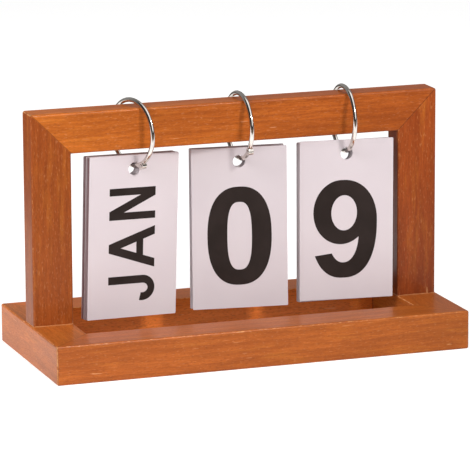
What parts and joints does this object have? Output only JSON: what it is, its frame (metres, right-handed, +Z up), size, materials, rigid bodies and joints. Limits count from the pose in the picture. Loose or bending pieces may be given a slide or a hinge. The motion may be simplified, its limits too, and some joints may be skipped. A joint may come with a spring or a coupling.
{
  "type": "perpetual desk calendar",
  "caption": "Wooden desk stand with a slotted base and an upright frame; printed month and day cards hang on hinged binder rings along its top rail.",
  "frame": {"origin": "middle of the base's underside, where it stands on the desk", "axes": "+X along the base to the right as seen from the front, +Y towards the back, +Z up"},
  "size_m": [0.22, 0.1, 0.1327],
  "materials": {
    "base_wood": "satin varnish",
    "upright_wood": "satin varnish",
    "dowel_wood": "plain",
    "ring_chrome": "polished",
    "printed_card": "satin with dark print",
    "screw_steel": "zinc plated"
  },
  "bodies": {
    "stand": {"base_front_rail": "base_wood", "base_right_rail": "base_wood", "base_back_rail": "base_wood", "base_left_rail": "base_wood", "left_stile": "upright_wood", "right_stile": "upright_wood", "top_rail": "upright_wood", "base_corner_dowels": "dowel_wood", "upright_corner_dowels": "dowel_wood", "stile_screws": "screw_steel"},
    "month_card_6_body": {"month_card_6": "printed_card"},
    "months_ring_rear": {"months_ring_rear_half": "ring_chrome", "months_ring_rivet": "ring_chrome"},
    "months_ring_front": {"months_ring_front_half": "ring_chrome"},
    "month_card_5_body": {"month_card_5": "printed_card"},
    "month_card_4_body": {"month_card_4": "printed_card"},
    "month_card_3_body": {"month_card_3": "printed_card"},
    "month_card_2_body": {"month_card_2": "printed_card"},
    "month_card_1_body": {"month_card_1": "printed_card"},
    "tens_card_2_body": {"tens_card_2": "printed_card"},
    "tens_ring_rear": {"tens_ring_rear_half": "ring_chrome", "tens_ring_rivet": "ring_chrome"},
    "tens_ring_front": {"tens_ring_front_half": "ring_chrome"},
    "tens_card_1_body": {"tens_card_1": "printed_card"},
    "units_card_5_body": {"units_card_5": "printed_card"},
    "units_ring_rear": {"units_ring_rear_half": "ring_chrome", "units_ring_rivet": "ring_chrome"},
    "units_ring_front": {"units_ring_front_half": "ring_chrome"},
    "units_card_4_body": {"units_card_4": "printed_card"},
    "units_card_3_body": {"units_card_3": "printed_card"},
    "units_card_2_body": {"units_card_2": "printed_card"},
    "units_card_1_body": {"units_card_1": "printed_card"}
  },
  "joints": [
    {"name": "months_pack_slide", "type": "slide", "parent": "stand", "child": "month_card_6_body", "axis": [1, 0, 0], "range_m": [-0.005, 0.0025]},
    {"name": "months_ring_turn", "type": "hinge", "parent": "month_card_6_body", "child": "months_ring_rear", "pos_m": [-0.0536, 0.001, 0.11472], "axis": [-0.9397, -0.342, 0], "continuous": true},
    {"name": "months_ring_opening", "type": "hinge", "parent": "months_ring_rear", "child": "months_ring_front", "pos_m": [-0.05073, -0.00689, 0.09894], "axis": [-0.9397, -0.342, 0], "range_deg": [-60, 0]},
    {"name": "month_card_5_swing", "type": "hinge", "parent": "month_card_6_body", "child": "month_card_5_body", "pos_m": [-0.05447, 0.00164, 0.10349], "axis": [0.9734, 0.2284, -0.0167], "range_deg": [-2.5, 0]},
    {"name": "month_card_4_swing", "type": "hinge", "parent": "month_card_5_body", "child": "month_card_4_body", "pos_m": [-0.0542, 0.00117, 0.10342], "axis": [0.9729, 0.2309, -0.0141], "range_deg": [-2.5, 0]},
    {"name": "month_card_3_swing", "type": "hinge", "parent": "month_card_4_body", "child": "month_card_3_body", "pos_m": [-0.05387, 0.00072, 0.1034], "axis": [0.9724, 0.2326, -0.0167], "range_deg": [-2.5, 0]},
    {"name": "month_card_2_swing", "type": "hinge", "parent": "month_card_3_body", "child": "month_card_2_body", "pos_m": [-0.05363, 0.00026, 0.10344], "axis": [0.9719, 0.2351, -0.0132], "range_deg": [-2.5, 0]},
    {"name": "month_card_1_swing", "type": "hinge", "parent": "month_card_2_body", "child": "month_card_1_body", "pos_m": [-0.05331, -0.00011, 0.10342], "axis": [0.9808, 0.1937, -0.0221], "range_deg": [-20, 0]},
    {"name": "tens_pack_slide", "type": "slide", "parent": "stand", "child": "tens_card_2_body", "axis": [1, 0, 0], "range_m": [-0.003, 0.003]},
    {"name": "tens_ring_turn", "type": "hinge", "parent": "tens_card_2_body", "child": "tens_ring_rear", "pos_m": [0.0036, 0.001, 0.11448], "axis": [-0.9981, -0.061, 0], "continuous": true},
    {"name": "tens_ring_opening", "type": "hinge", "parent": "tens_ring_rear", "child": "tens_ring_front", "pos_m": [0.00446, -0.01306, 0.10348], "axis": [-0.9981, -0.061, 0], "range_deg": [-60, 0]},
    {"name": "tens_card_1_swing", "type": "hinge", "parent": "tens_card_2_body", "child": "tens_card_1_body", "pos_m": [0.00289, -0.00084, 0.10126], "axis": [1, 0.0067, 0.0018], "range_deg": [-66, 0]},
    {"name": "units_pack_slide", "type": "slide", "parent": "stand", "child": "units_card_5_body", "axis": [1, 0, 0], "range_m": [-0.003, 0.0015]},
    {"name": "units_ring_turn", "type": "hinge", "parent": "units_card_5_body", "child": "units_ring_rear", "pos_m": [0.0605, 0.001, 0.11448], "axis": [1, 0, 0], "continuous": true},
    {"name": "units_ring_opening", "type": "hinge", "parent": "units_ring_rear", "child": "units_ring_front", "pos_m": [0.0605, 0.01047, 0.09932], "axis": [1, 0, 0], "range_deg": [-60, 0]},
    {"name": "units_card_4_swing", "type": "hinge", "parent": "units_card_5_body", "child": "units_card_4_body", "pos_m": [0.06009, -0.00013, 0.1031], "axis": [0.998, -0.0628, 0.0052], "range_deg": [-4, 0]},
    {"name": "units_card_3_swing", "type": "hinge", "parent": "units_card_4_body", "child": "units_card_3_body", "pos_m": [0.06017, -0.00121, 0.10333], "axis": [0.9971, -0.0767, -0.0017], "range_deg": [-4, 0]},
    {"name": "units_card_2_swing", "type": "hinge", "parent": "units_card_3_body", "child": "units_card_2_body", "pos_m": [0.06018, -0.00224, 0.1037], "axis": [0.9959, -0.0906, 0.0035], "range_deg": [-4, 0]},
    {"name": "units_card_1_swing", "type": "hinge", "parent": "units_card_2_body", "child": "units_card_1_body", "pos_m": [0.06016, -0.00428, 0.10371], "axis": [0.9969, -0.0785, -0.0013], "range_deg": [-66, 0]}
  ]
}
